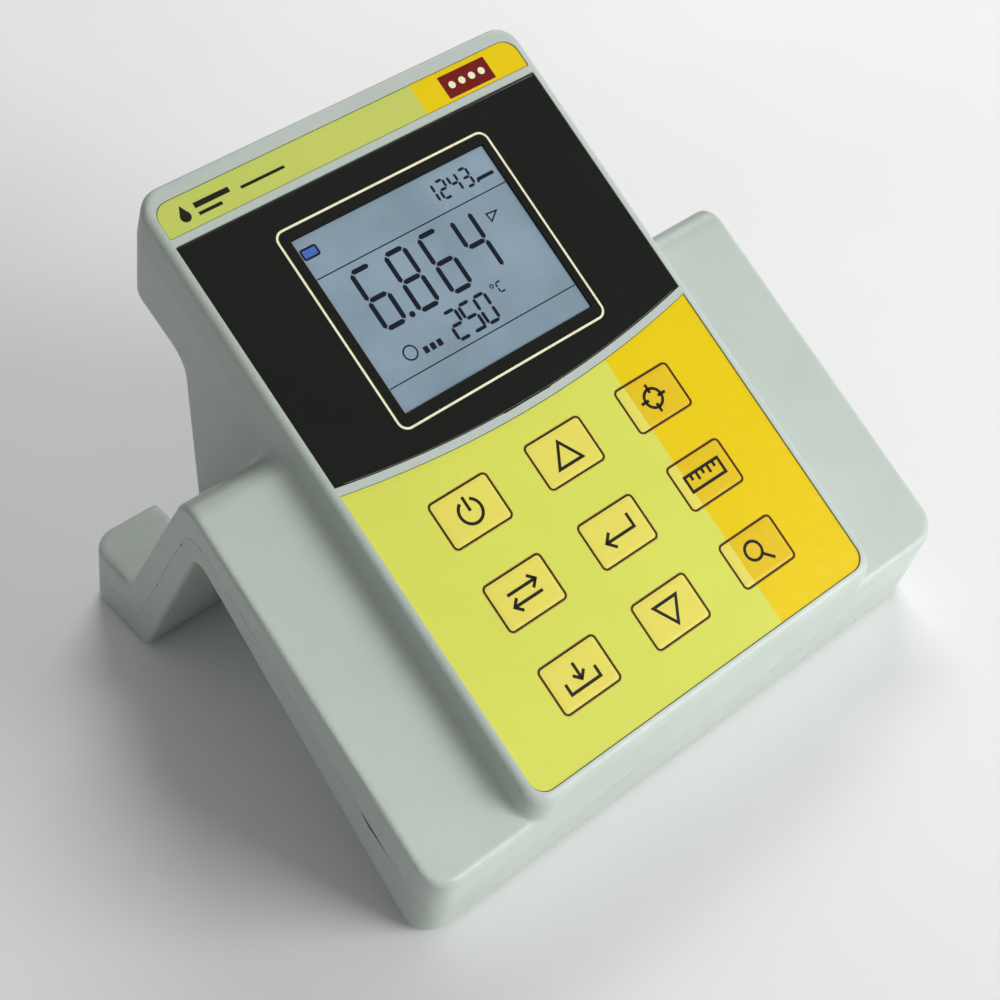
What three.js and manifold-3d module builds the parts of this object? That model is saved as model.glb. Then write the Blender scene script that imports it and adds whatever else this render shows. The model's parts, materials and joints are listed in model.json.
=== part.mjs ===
// Benchtop pH meter: a two-part plastic case with sloping side wings, a membrane
// keypad, a large display and a rear connector plate. Millimetres, +Z up, front at -Y.
import * as THREE from 'three';
import { mergeVertices } from 'three/addons/utils/BufferGeometryUtils.js';
import Module from 'manifold-3d';

const wasm = await Module();
wasm.setup();

// ---------------------------------------------------------------- driving dimensions
const GAP = 0.3;                 // clearance between pieces that touch
const SLOPE = THREE.MathUtils.degToRad(32.3);   // tilt of the control panel
const PANEL_WIDTH = 117;
const PANEL_LENGTH = 172.2;
const PANEL_FRONT = { y: -79.6, z: 38.5 };      // front edge of the panel surface
const CASE_BOTTOM = 0.8;         // the case floor, just above the rubber feet
const WALL = 2.6;
const TOP_PLATE = 6;             // thickness of the plate that carries panel and display
const NECK_WALL = 4;

const HOUSING_HALF_WIDTH = 62;
const WING_HALF_FRONT = 91.2;
const WING_HALF_REAR = 88.8;
const TAIL_INNER = 66;           // inner face of each rear foot
const LEAN = -0.24;              // plan outlines lean forwards with height

const WINDOW_TOP = 160.6;
const HEADER_BOTTOM = 162.6;
const ARC_END = 89.5;            // window's lower edge at the panel's sides
const ARC_DROP = 5.4;            // how far that edge bulges towards the keypad
const BAND = 2.2;                // rib of case between window and keypad

const LCD = { x: 0.4, v: 122.8, width: 63.3, height: 52.4 };
const KEY = { width: 19.2, height: 14, radius: 1.6, pitchX: 31.5, pitchV: 24.3, x: 0.4, v: 43.2 };
const KEY_NAMES = [
  ['key_memory', 'key_down', 'key_read'],
  ['key_mode', 'key_enter', 'key_unit'],
  ['key_power', 'key_up', 'key_cal'],
];

// heights along the panel's outward normal
const FILM_TOP = -0.35;
const FILM_BOTTOM = -1.15;
const KEY_BOTTOM = -1.35;
const SPACER_TOP = -1.45;
const SPACER_BOTTOM = -2.2;
const BOARD_TOP = -2.5;
const BOARD_BOTTOM = -3.3;
const KEYPAD_FLOOR = -3.6;
const WING_LEVEL = -8.5;         // the side wings' tops
const WINDOW_LEVEL = { top: -0.2, bottom: -1.5, floor: -1.8 };
const HEADER_LEVEL = { top: -0.2, bottom: -0.7, floor: -1 };

// ---------------------------------------------------------------- materials
const plastic = (color, roughness) => new THREE.MeshStandardMaterial({ color, roughness, metalness: 0 });
const metal = (color, roughness) => new THREE.MeshStandardMaterial({ color, roughness, metalness: 1 });
const CASE_GREY = plastic(0xbcc4bf, 0.5);
const CASE_BASE = plastic(0xaeb6b2, 0.5);
const FILM_LIME = plastic(0xd6de60, 0.45);
const FILM_KEY = plastic(0xdcd65c, 0.45);
const WINDOW_BLACK = plastic(0x14150f, 0.1);
const LCD_BLUE = plastic(0x8fa6ba, 0.15);
const DIFFUSER = plastic(0xeef2f2, 0.4);
const BOARD_GREEN = plastic(0x1f6b3a, 0.45);
const SPACER_CLEAR = plastic(0xd8dcd8, 0.5);
const BLACK_PLASTIC = plastic(0x1c1d1f, 0.5);
const RUBBER = plastic(0x26282a, 0.85);
const STEEL = metal(0xb9bcc0, 0.3);
const NICKEL = metal(0xc9c6bd, 0.22);
const GOLD = metal(0xd8b55a, 0.25);
const PTFE = plastic(0xf0efe8, 0.5);

// ---------------------------------------------------------------- solids
function solidOf(geometry, matrix) {
  const g = geometry.index ? geometry.toNonIndexed() : geometry.clone();
  g.deleteAttribute('normal');
  g.deleteAttribute('uv');
  if (matrix) {
    g.applyMatrix4(matrix);
  }
  const merged = mergeVertices(g, 1e-5);
  const mesh = new wasm.Mesh({
    numProp: 3,
    vertProperties: new Float32Array(merged.attributes.position.array),
    triVerts: new Uint32Array(merged.index.array),
  });
  return new wasm.Manifold(mesh);
}

function geometryOf(solid) {
  const mesh = solid.getMesh();
  const g = new THREE.BufferGeometry();
  g.setAttribute('position', new THREE.BufferAttribute(new Float32Array(mesh.vertProperties), 3));
  g.setIndex(new THREE.BufferAttribute(new Uint32Array(mesh.triVerts), 1));
  g.computeVertexNormals();
  return g;
}

const group = new THREE.Group();

function addPiece(name, solid, material, parent = group) {
  const mesh = new THREE.Mesh(geometryOf(solid), material);
  mesh.name = name;
  parent.add(mesh);
  return mesh;
}

// A closed outline from corners [x, y, radius]; each corner is rounded with a true arc.
function roundedShape(corners) {
  const shape = new THREE.Shape();
  corners.forEach(([x, y, radius = 0], i) => {
    const before = corners[(i + corners.length - 1) % corners.length];
    const after = corners[(i + 1) % corners.length];
    const a = new THREE.Vector2(before[0] - x, before[1] - y).normalize();
    const b = new THREE.Vector2(after[0] - x, after[1] - y).normalize();
    const half = Math.acos(THREE.MathUtils.clamp(a.dot(b), -1, 1)) / 2;
    const reach = radius / Math.tan(half);
    const start = a.clone().multiplyScalar(reach).add(new THREE.Vector2(x, y));
    if (i === 0) {
      shape.moveTo(start.x, start.y);
    } else {
      shape.lineTo(start.x, start.y);
    }
    if (radius > 0) {
      const middle = a.clone().add(b).normalize().multiplyScalar(radius / Math.sin(half));
      const centre = middle.add(new THREE.Vector2(x, y));
      const end = b.clone().multiplyScalar(reach).add(new THREE.Vector2(x, y));
      const from = Math.atan2(start.y - centre.y, start.x - centre.x);
      const to = Math.atan2(end.y - centre.y, end.x - centre.x);
      const clockwise = a.x * b.y - a.y * b.x > 0;
      shape.absarc(centre.x, centre.y, radius, from, to, clockwise);
    }
  });
  shape.closePath();
  return shape;
}

// Corners moved inwards by one distance for each edge; edge i runs from corner i to i + 1.
function insetCorners(corners, distances) {
  const count = corners.length;
  const edge = (i) => {
    const [x0, y0] = corners[i % count];
    const [x1, y1] = corners[(i + 1) % count];
    const d = new THREE.Vector2(x1 - x0, y1 - y0).normalize();
    const gap = distances[i % count];
    return { x: x0 - d.y * gap, y: y0 + d.x * gap, dx: d.x, dy: d.y };
  };
  return corners.map((corner, i) => {
    const p = edge(i + count - 1);
    const q = edge(i);
    const cross = p.dx * q.dy - p.dy * q.dx;
    const t = ((q.x - p.x) * q.dy - (q.y - p.y) * q.dx) / cross;
    const shrink = cross > 0 ? -WALL : WALL;
    return [p.x + t * p.dx, p.y + t * p.dy, Math.max(0.5, (corner[2] || 0) + shrink)];
  });
}

const ARC_STEPS = 4;

function extrude(shape, from, to, matrix = new THREE.Matrix4()) {
  const depth = to - from;
  const g = new THREE.ExtrudeGeometry(shape, { depth, bevelEnabled: false, curveSegments: ARC_STEPS });
  const lift = new THREE.Matrix4().makeTranslation(0, 0, from);
  return solidOf(g, matrix.clone().multiply(lift));
}

function slab(x0, x1, y0, y1, z0, z1, radius = 0, matrix = undefined) {
  const corners = [[x0, y0, radius], [x1, y0, radius], [x1, y1, radius], [x0, y1, radius]];
  return extrude(roundedShape(corners), z0, z1, matrix);
}

// A turned piece along +Z from [radius, height] points that start and end on the axis.
function turned(points, sides = 20, matrix = undefined) {
  const profile = points.map(([r, z]) => new THREE.Vector2(r, z));
  const g = new THREE.LatheGeometry(profile, sides);
  const stand = new THREE.Matrix4().makeRotationX(Math.PI / 2);
  const placed = matrix ? matrix.clone().multiply(stand) : stand;
  return solidOf(g, placed);
}

function rod(radius, z0, z1, x = 0, y = 0, sides = 24) {
  const place = new THREE.Matrix4().makeTranslation(x, y, 0);
  return turned([[0, z0], [radius, z0], [radius, z1], [0, z1]], sides, place);
}

const joined = (solids) => solids.reduce((sum, next) => sum.add(next));
const cut = (solid, tools) => tools.reduce((rest, tool) => rest.subtract(tool), solid);

// ---------------------------------------------------------------- frames
// Profiles are drawn as (y, z) and extruded along X.
const SIDE = new THREE.Matrix4().makeBasis(
  new THREE.Vector3(0, 1, 0), new THREE.Vector3(0, 0, 1), new THREE.Vector3(1, 0, 0));
// Plan outlines are drawn as (x, y) and extruded upwards along the leaning front face.
const PLAN = new THREE.Matrix4().set(1, 0, 0, 0, 0, 1, LEAN, 0, 0, 0, 1, 0, 0, 0, 0, 1);

const panel = new THREE.Group();
panel.position.set(0, PANEL_FRONT.y, PANEL_FRONT.z);
panel.rotation.x = SLOPE;
panel.updateMatrix();
group.add(panel);
const PANEL = panel.matrix.clone();

// ---------------------------------------------------------------- case outline
const panelTopAt = (y) => PANEL_FRONT.z + (y - PANEL_FRONT.y) * Math.tan(SLOPE);
const wingTopAt = (y) => panelTopAt(y) + WING_LEVEL / Math.cos(SLOPE);
const HEAD_FRONT_Y = -81.4;
const HEAD_REAR_Y = 70.6;
const RIDGE_Y = 15.6;
const WING_FRONT_Y = -79.3;
const WING_REAR_Y = 82;
const GROUND_FRONT_Y = -72.8;    // the front face where it meets the ground
const HOUSING_REAR_Y = 102;
const WING_CORNER = 8;
const HOUSING_CORNER = 7;
const NECK_TOP = new THREE.Vector2(55, 90);
const NECK_BOTTOM = new THREE.Vector2(61.3, CASE_BOTTOM);

const RIBBON = [
  [-72.6, CASE_BOTTOM, 1.5],
  [-69, CASE_BOTTOM, 1],
  [13.2, 69.3, 4],
  [51.6, CASE_BOTTOM, 4],
  [81.3, CASE_BOTTOM, 1.5],
  [79, 24.8, 2],
  [54.7, 24, 6],
  [RIDGE_Y, wingTopAt(RIDGE_Y), 7],
  [WING_FRONT_Y, wingTopAt(WING_FRONT_Y), 1.6],
];
const HOUSING = [
  [-72.6, CASE_BOTTOM, 1.5],
  [NECK_BOTTOM.x, NECK_BOTTOM.y, 2],
  [NECK_TOP.x, NECK_TOP.y, 7],
  [77, 102, 5],
  [HEAD_REAR_Y, panelTopAt(HEAD_REAR_Y), 2.4],
  [HEAD_FRONT_Y, panelTopAt(HEAD_FRONT_Y), 2.2],
];
const PLAN_WINGS = [
  [-WING_HALF_FRONT, GROUND_FRONT_Y, WING_CORNER],
  [WING_HALF_FRONT, GROUND_FRONT_Y, WING_CORNER],
  [WING_HALF_REAR, WING_REAR_Y, WING_CORNER],
  [-WING_HALF_REAR, WING_REAR_Y, WING_CORNER],
];
const PLAN_HOUSING = [
  [-HOUSING_HALF_WIDTH, GROUND_FRONT_Y, HOUSING_CORNER],
  [HOUSING_HALF_WIDTH, GROUND_FRONT_Y, HOUSING_CORNER],
  [HOUSING_HALF_WIDTH, HOUSING_REAR_Y, HOUSING_CORNER],
  [-HOUSING_HALF_WIDTH, HOUSING_REAR_Y, HOUSING_CORNER],
];
const HOUSING_WALLS = [WALL, NECK_WALL, WALL, WALL, TOP_PLATE, WALL];
const FAR = 120;                 // reaches that clear the whole case
const HIGH = 160;
const DEEP = -5;
const TAIL_GAP_OUTER = 60;       // where the gap between the rear feet starts, outside and inside
const TAIL_GAP_INNER = 48;

const even = (corners) => corners.map(() => WALL);

function ribbonBody(profile, outline, innerEdge, behind) {
  const body = extrude(roundedShape(profile), -FAR, FAR, SIDE);
  const trimmed = body.intersect(extrude(roundedShape(outline), DEEP, HIGH, PLAN));
  return trimmed.subtract(slab(-innerEdge, innerEdge, behind, FAR, DEEP, HIGH));
}

function housingBody(profile, outline) {
  const body = extrude(roundedShape(profile), -FAR, FAR, SIDE);
  return body.intersect(extrude(roundedShape(outline), DEEP, HIGH, PLAN));
}

const outerWings = ribbonBody(RIBBON, PLAN_WINGS, TAIL_INNER, TAIL_GAP_OUTER);
const outerHousing = housingBody(HOUSING, PLAN_HOUSING);
const innerWings = ribbonBody(
  insetCorners(RIBBON, even(RIBBON)),
  insetCorners(PLAN_WINGS, even(PLAN_WINGS)),
  TAIL_INNER + WALL,
  TAIL_GAP_INNER,
);
const innerHousing = housingBody(
  insetCorners(HOUSING, HOUSING_WALLS),
  insetCorners(PLAN_HOUSING, even(PLAN_HOUSING)),
);
const walls = outerWings.add(outerHousing).subtract(innerWings.add(innerHousing));

// ---------------------------------------------------------------- parting line of the two shells
const SEAM_FRONT_Y = -107;
const SEAM_REAR_Y = 110;
const SEAM = [[SEAM_FRONT_Y, -6.8], [14.2, 79], [53.2, 12.4], [SEAM_REAR_Y, 12.4]];
const SEAM_GAP = 0.25;

function seamRegion(shift, farSide) {
  const line = SEAM.map(([y, z]) => [y, z + shift]);
  const outline = [...line, [SEAM_REAR_Y, farSide], [SEAM_FRONT_Y, farSide]];
  return extrude(roundedShape(outline), -FAR, FAR, SIDE);
}

// ---------------------------------------------------------------- screw posts and feet
const POST_X = 54;
const POST_ROWS = [-54, 36];
const POSTS = [-1, 1].flatMap((side) => POST_ROWS.map((y) => ({ x: side * POST_X, y })));
const POST_RADIUS = 3.5;
const POST_FOOT = 7;
const POST_SIDES = 16;
const POST_COVER = 4;            // from a post's end up to the panel's plane
const BOSS_RADIUS = 5.2;
const SCREW_BORE = 1.75;
const SCREW_BORE_TOP = 20;
const COUNTERBORE = { radius: 3.4, top: 3.6 };
const FRONT_FOOT = { x: 46, y: -62 };
const REAR_FOOT = { x: 77.5, y: 68 };
const FOOT_RADIUS = 5;
const FOOT_RECESS = 1.6;
const FOOT_PAD = { rim: 1.8, height: 3.6 };
const ROUND_SIDES = 20;
const BORE_SIDES = 12;

const feet = [
  ['front_left_foot', -FRONT_FOOT.x, FRONT_FOOT.y],
  ['front_right_foot', FRONT_FOOT.x, FRONT_FOOT.y],
  ['rear_left_foot', -REAR_FOOT.x, REAR_FOOT.y],
  ['rear_right_foot', REAR_FOOT.x, REAR_FOOT.y],
];

function postSolid({ x, y }) {
  const top = panelTopAt(y) - POST_COVER / Math.cos(SLOPE);
  const bore = rod(SCREW_BORE, POST_FOOT - 1, SCREW_BORE_TOP, x, y, BORE_SIDES);
  return rod(POST_RADIUS, POST_FOOT, top, x, y, POST_SIDES).subtract(bore);
}

// ---------------------------------------------------------------- panel outlines
// An arc that bulges towards the keypad, from the panel's left side to its right side.
function arcPoints(offset, halfWidth, steps = 16) {
  const radius = (halfWidth ** 2 + ARC_DROP ** 2) / (2 * ARC_DROP);
  const points = [];
  for (let i = 0; i <= steps; i += 1) {
    const x = -halfWidth + (2 * halfWidth * i) / steps;
    const lift = radius - Math.sqrt(radius ** 2 - x ** 2);
    points.push([x, ARC_END - ARC_DROP + offset + lift]);
  }
  return points;
}

const HALF = PANEL_WIDTH / 2;
const PANEL_CORNER = 4.5;
const SMALL_CORNER = 0.6;

function windowOutline(clear) {
  const half = HALF - clear;
  const top = WINDOW_TOP - clear;
  return roundedShape([
    ...arcPoints(clear, half),
    [half, top, SMALL_CORNER],
    [-half, top, SMALL_CORNER],
  ]);
}

function keypadOutline(clear) {
  const half = HALF - clear;
  const arc = arcPoints(-BAND - clear, half).reverse();
  return roundedShape([[-half, clear, PANEL_CORNER], [half, clear, PANEL_CORNER], ...arc]);
}

function headerOutline(clear) {
  const half = HALF - clear;
  const top = PANEL_LENGTH - clear;
  const bottom = HEADER_BOTTOM + clear;
  return roundedShape([
    [-half, bottom, SMALL_CORNER],
    [half, bottom, SMALL_CORNER],
    [half, top, PANEL_CORNER],
    [-half, top, PANEL_CORNER],
  ]);
}

function lcdSlab(grow, z0, z1, matrix) {
  const w = LCD.width / 2 + grow;
  const h = LCD.height / 2 + grow;
  return slab(LCD.x - w, LCD.x + w, LCD.v - h, LCD.v + h, z0, z1, 0, matrix);
}

const keyPlaces = KEY_NAMES.flatMap((names, row) => names.map((name, column) => ({
  name,
  x: KEY.x + (column - 1) * KEY.pitchX,
  v: KEY.v + (row - 1) * KEY.pitchV,
})));

function keySlab(place, grow, z0, z1, radius = KEY.radius + grow) {
  const w = KEY.width / 2 + grow;
  const h = KEY.height / 2 + grow;
  return slab(place.x - w, place.x + w, place.v - h, place.v + h, z0, z1, radius);
}

// ---------------------------------------------------------------- rear connector plate
const PLATE_HEIGHT = 34;         // centre of the plate above the case floor, along the neck
const PLATE = { halfWidth: 42, halfHeight: 14, corner: 2, thickness: 1.5, recess: 2.1 };
const SOCKETS = { bnc: -24, temperature: 4, power: 27 };
const neckUp = NECK_TOP.clone().sub(NECK_BOTTOM).normalize();
const plateCentre = NECK_BOTTOM.clone().addScaledVector(neckUp, PLATE_HEIGHT);
const rear = new THREE.Group();
rear.position.set(0, plateCentre.x, plateCentre.y);
rear.quaternion.setFromRotationMatrix(new THREE.Matrix4().makeBasis(
  new THREE.Vector3(-1, 0, 0),
  new THREE.Vector3(0, neckUp.x, neckUp.y),
  new THREE.Vector3(0, neckUp.y, -neckUp.x)));
rear.updateMatrix();
group.add(rear);
const REAR = rear.matrix.clone();

function plateSlab(clear, z0, z1, matrix) {
  const w = PLATE.halfWidth - clear;
  const h = PLATE.halfHeight - clear;
  return slab(-w, w, -h, h, z0, z1, PLATE.corner - clear, matrix);
}

// ---------------------------------------------------------------- upper shell
const CLEAR = 5;                 // cutting tools end this far outside the surface
const PLATE_BACK = -9;           // below the inner face of the panel's plate
const LCD_OPENING = 4.4;         // margin of the display's opening around the glass
const BOARD = { halfWidth: 50, low: 88, high: 160, top: -12.5, bottom: -14.1, corner: 2 };
const BOARD_POST = { radius: 2.4, top: -5, bottom: -12.2, x: 45, rows: [92, 156] };
const RIBBON_SLOT = { halfWidth: 8, low: 84, high: 92 };
const SOCKET_OPENING = { halfWidth: 38, halfHeight: 10, depth: 12 };

const boardPosts = [-1, 1].flatMap((side) => BOARD_POST.rows.map((v) => {
  const x = side * BOARD_POST.x;
  const post = rod(BOARD_POST.radius, BOARD_POST.bottom, BOARD_POST.top, x, v, BORE_SIDES);
  return post.transform(PANEL.elements);
}));

function ribbonSlot() {
  const { halfWidth, low, high } = RIBBON_SLOT;
  return slab(-halfWidth, halfWidth, low, high, PLATE_BACK, KEYPAD_FLOOR + 0.2, 0, PANEL);
}

function socketOpening() {
  const { halfWidth, halfHeight, depth } = SOCKET_OPENING;
  return slab(-halfWidth, halfWidth, -halfHeight, halfHeight, -depth, 1, 0, REAR);
}

const upperShell = cut(
  joined([walls, ...POSTS.map(postSolid), ...boardPosts]).intersect(seamRegion(SEAM_GAP, HIGH)),
  [
    extrude(keypadOutline(0), KEYPAD_FLOOR, CLEAR, PANEL),
    extrude(windowOutline(0), WINDOW_LEVEL.floor, CLEAR, PANEL),
    extrude(headerOutline(0), HEADER_LEVEL.floor, CLEAR, PANEL),
    lcdSlab(LCD_OPENING, PLATE_BACK, 1, PANEL),
    ribbonSlot(),
    plateSlab(0, -PLATE.recess, CLEAR, REAR),
    socketOpening(),
  ],
);
addPiece('upper_shell', upperShell, CASE_GREY);

// ---------------------------------------------------------------- lower shell
const bosses = POSTS.map(({ x, y }) => (
  rod(BOSS_RADIUS, CASE_BOTTOM, POST_FOOT - GAP, x, y, ROUND_SIDES)));
const footPads = feet.map(([, x, y]) => (
  rod(FOOT_RADIUS + FOOT_PAD.rim, CASE_BOTTOM, CASE_BOTTOM + FOOT_PAD.height, x, y, ROUND_SIDES)));
const counterbores = POSTS.map(({ x, y }) => (
  rod(COUNTERBORE.radius, 0, COUNTERBORE.top, x, y, ROUND_SIDES)));
const screwBores = POSTS.map(({ x, y }) => (
  rod(SCREW_BORE, 0, POST_FOOT + 2, x, y, BORE_SIDES)));
const footRecesses = feet.map(([, x, y]) => (
  rod(FOOT_RADIUS + GAP, 0, CASE_BOTTOM + FOOT_RECESS, x, y, ROUND_SIDES)));
const lowerShell = cut(
  joined([walls.intersect(seamRegion(-SEAM_GAP, -HIGH)), ...bosses, ...footPads]),
  [...counterbores, ...screwBores, ...footRecesses],
);
addPiece('lower_shell', lowerShell, CASE_BASE);

const FOOT_CHAMFER = 0.5;
const shifted = (x, y, z = 0) => new THREE.Matrix4().makeTranslation(x, y, z);

feet.forEach(([name, x, y]) => {
  const top = CASE_BOTTOM + FOOT_RECESS - GAP;
  const profile = [
    [0, 0],
    [FOOT_RADIUS - FOOT_CHAMFER, 0],
    [FOOT_RADIUS, FOOT_CHAMFER],
    [FOOT_RADIUS, top],
    [0, top],
  ];
  addPiece(name, turned(profile, ROUND_SIDES, shifted(x, y)), RUBBER);
});

// [radius, height] from the socket in the head up to the point.
const SCREW_PROFILE = [
  [0, 2],
  [0.9, 2],
  [0.9, 1.3],
  [3, 1.3],
  [3, 3.3],
  [1.45, 3.3],
  [1.45, 16],
  [0, 17],
];
POSTS.forEach(({ x, y }, i) => {
  addPiece(`case_screw_${i + 1}`, turned(SCREW_PROFILE, BORE_SIDES, shifted(x, y)), STEEL);
});

// ---------------------------------------------------------------- panel films and window
const headerFilm = extrude(headerOutline(GAP), HEADER_LEVEL.bottom, HEADER_LEVEL.top);
addPiece('header_label', headerFilm, FILM_LIME, panel);

const windowPlate = extrude(windowOutline(GAP), WINDOW_LEVEL.bottom, WINDOW_LEVEL.top)
  .subtract(lcdSlab(0, KEYPAD_FLOOR, 1));
addPiece('display_window', windowPlate, WINDOW_BLACK, panel);

const overlay = cut(
  extrude(keypadOutline(GAP), FILM_BOTTOM, FILM_TOP),
  keyPlaces.map((place) => keySlab(place, GAP, KEYPAD_FLOOR, 1)),
);
addPiece('keypad_overlay', overlay, FILM_LIME, panel);

const spacer = cut(
  extrude(keypadOutline(GAP), SPACER_BOTTOM, SPACER_TOP),
  keyPlaces.map((place) => keySlab(place, 2 * GAP, KEYPAD_FLOOR, 1, 0)),
);
addPiece('keypad_spacer', spacer, SPACER_CLEAR, panel);

addPiece('keypad_circuit', extrude(keypadOutline(GAP), BOARD_BOTTOM, BOARD_TOP), BOARD_GREEN, panel);

keyPlaces.forEach((place) => {
  addPiece(place.name, keySlab(place, 0, KEY_BOTTOM, FILM_TOP), FILM_KEY, panel);
});

// Each key presses a shallow metal dome that snaps onto the circuit below it.
const DOME = { radius: 3.2, height: 0.22, lift: 0.02, shoulder: 0.55, shoulderHeight: 0.8, sides: 14 };
keyPlaces.forEach((place) => {
  const base = BOARD_TOP + DOME.lift;
  const profile = [
    [0, base],
    [DOME.radius, base],
    [DOME.radius * DOME.shoulder, base + DOME.height * DOME.shoulderHeight],
    [0, base + DOME.height],
  ];
  const dome = turned(profile, DOME.sides, shifted(place.x, place.v));
  addPiece(place.name.replace('key', 'dome'), dome, STEEL, panel);
});

// ---------------------------------------------------------------- display and boards
const GLASS = { margin: 2.6, top: -1.9, bottom: -4.6 };
const LIGHT = { top: -4.9, bottom: -8 };
const BRACKET = { outer: 4, inner: 2.9, lip: -6, top: -2.1, bottom: -10.6, seat: -8.3 };
addPiece('lcd_glass', lcdSlab(GLASS.margin, GLASS.bottom, GLASS.top), LCD_BLUE, panel);
addPiece('lcd_backlight', lcdSlab(GLASS.margin, LIGHT.bottom, LIGHT.top), DIFFUSER, panel);
const bracket = cut(lcdSlab(BRACKET.outer, BRACKET.bottom, BRACKET.top), [
  lcdSlab(BRACKET.inner, BRACKET.seat, 0),
  lcdSlab(BRACKET.lip, BRACKET.bottom - 1, 0),
]);
addPiece('lcd_bracket', bracket, BLACK_PLASTIC, panel);

// [x, x, v, v, low, high, corner radius] of each block behind the display.
const BLOCKS = [
  ['main_board', [-BOARD.halfWidth, BOARD.halfWidth, BOARD.low, BOARD.high, BOARD.bottom, BOARD.top, BOARD.corner],
    BOARD_GREEN],
  ['processor_chip', [-8, 8, 116, 132, -16.4, -14.4, 0.6], BLACK_PLASTIC],
  ['board_connector', [-14, 14, 94, 99, -20, -14.4, 0], BLACK_PLASTIC],
  ['keypad_ribbon', [-6, 6, 86.5, 88.2, -12.1, -3.9, 0], SPACER_CLEAR],
];
BLOCKS.forEach(([name, extent, material]) => {
  addPiece(name, slab(...extent), material, panel);
});

// ---------------------------------------------------------------- rear sockets
const PLATE_FRONT = -GAP;
const PLATE_REAR = PLATE_FRONT - PLATE.thickness;
const HOLES = { bnc: 5.8, temperature: 3.8, power: 4.8 };
const socketHoles = Object.entries(HOLES).map(([name, radius]) => (
  rod(radius, -4, 1, SOCKETS[name], 0)));
addPiece('connector_plate', cut(plateSlab(GAP, PLATE_REAR, PLATE_FRONT), socketHoles), BLACK_PLASTIC, rear);

// Every socket profile is a list of [radius, height above the plate's face].
const at = (name) => shifted(SOCKETS[name], 0);
const BNC_PROFILE = [
  [0, -11],
  [5.4, -11],
  [5.4, 0.05],
  [7.4, 0.05],
  [7.4, 1.7],
  [5.4, 1.7],
  [5.4, 3.4],
  [4.8, 3.8],
  [4.8, 12],
  [4.1, 12],
  [4.1, 2],
  [0, 2],
];
const INSULATOR_PROFILE = [
  [0, 2.3],
  [2.3, 2.3],
  [2.3, 10.4],
  [1.2, 10.4],
  [1.2, 3.6],
  [0, 3.6],
];
const CONTACT_PROFILE = [
  [0, 3.9],
  [0.8, 3.9],
  [0.8, 10],
  [0, 10],
];
const LUG = { radius: 0.95, reach: 5.8, height: 9 };
const BNC_BORE = { radius: 4.1, low: 2, high: 14 };

const acrossPlate = new THREE.Matrix4().makeRotationX(Math.PI / 2);
const lugPlace = shifted(SOCKETS.bnc, 0, LUG.height).multiply(acrossPlate);
const lugProfile = [[0, -LUG.reach], [LUG.radius, -LUG.reach], [LUG.radius, LUG.reach], [0, LUG.reach]];
const lug = turned(lugProfile, 10, lugPlace);
const bncBore = rod(BNC_BORE.radius, BNC_BORE.low, BNC_BORE.high, SOCKETS.bnc, 0);
const bncSocket = turned(BNC_PROFILE, 24, at('bnc')).add(lug).subtract(bncBore);
addPiece('bnc_socket', bncSocket, NICKEL, rear);
addPiece('bnc_insulator', turned(INSULATOR_PROFILE, 20, at('bnc')), PTFE, rear);
addPiece('bnc_contact', turned(CONTACT_PROFILE, 12, at('bnc')), GOLD, rear);

const NUT_THICKNESS = 2.2;

function ringNut(name, x, inner, outer) {
  const outline = new THREE.Shape();
  outline.absarc(x, 0, outer, 0, 2 * Math.PI, false);
  const options = { depth: NUT_THICKNESS, bevelEnabled: false, curveSegments: 3 };
  const g = new THREE.ExtrudeGeometry(outline, options);
  const body = solidOf(g, shifted(0, 0, PLATE_REAR - GAP - NUT_THICKNESS));
  addPiece(name, body.subtract(rod(inner, PLATE_REAR - 4, PLATE_REAR + 1, x, 0)), NICKEL, rear);
}
ringNut('bnc_nut', SOCKETS.bnc, HOLES.bnc, 8.4);
ringNut('temperature_nut', SOCKETS.temperature, HOLES.temperature, 6);

const TEMPERATURE_PROFILE = [
  [0, -10],
  [3.4, -10],
  [3.4, 0.05],
  [5.2, 0.05],
  [5.2, 1.5],
  [3.4, 2],
  [3.4, 2.6],
  [1.8, 2.6],
  [1.8, -6],
  [0, -6],
];
const POWER_PROFILE = [
  [0, -10],
  [4.4, -10],
  [4.4, 0.05],
  [6, 0.05],
  [6, 1.4],
  [5.6, 1.8],
  [2.9, 1.8],
  [2.9, -7],
  [0, -7],
];
const PIN_PROFILE = [
  [0, -6.7],
  [1, -6.7],
  [1, 0.6],
  [0, 1.2],
];
addPiece('temperature_socket', turned(TEMPERATURE_PROFILE, 24, at('temperature')), NICKEL, rear);
addPiece('power_socket', turned(POWER_PROFILE, 24, at('power')), BLACK_PLASTIC, rear);
addPiece('power_pin', turned(PIN_PROFILE, 14, at('power')), NICKEL, rear);
addPiece('socket_board', slab(-37, 37, -9, 9, -13, -11.4, 1), BOARD_GREEN, rear);

export default group;
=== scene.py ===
"""Benchtop pH meter: the looks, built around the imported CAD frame.

Shapes are drawn in millimetres, then placed in the frame, which is in metres. Panel shapes use
the panel's own axes: x to the right, v up the slope and n straight out of it.
"""
import json
import math

import bmesh
import bpy
import numpy as np
from mathutils import Matrix, Vector


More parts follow.
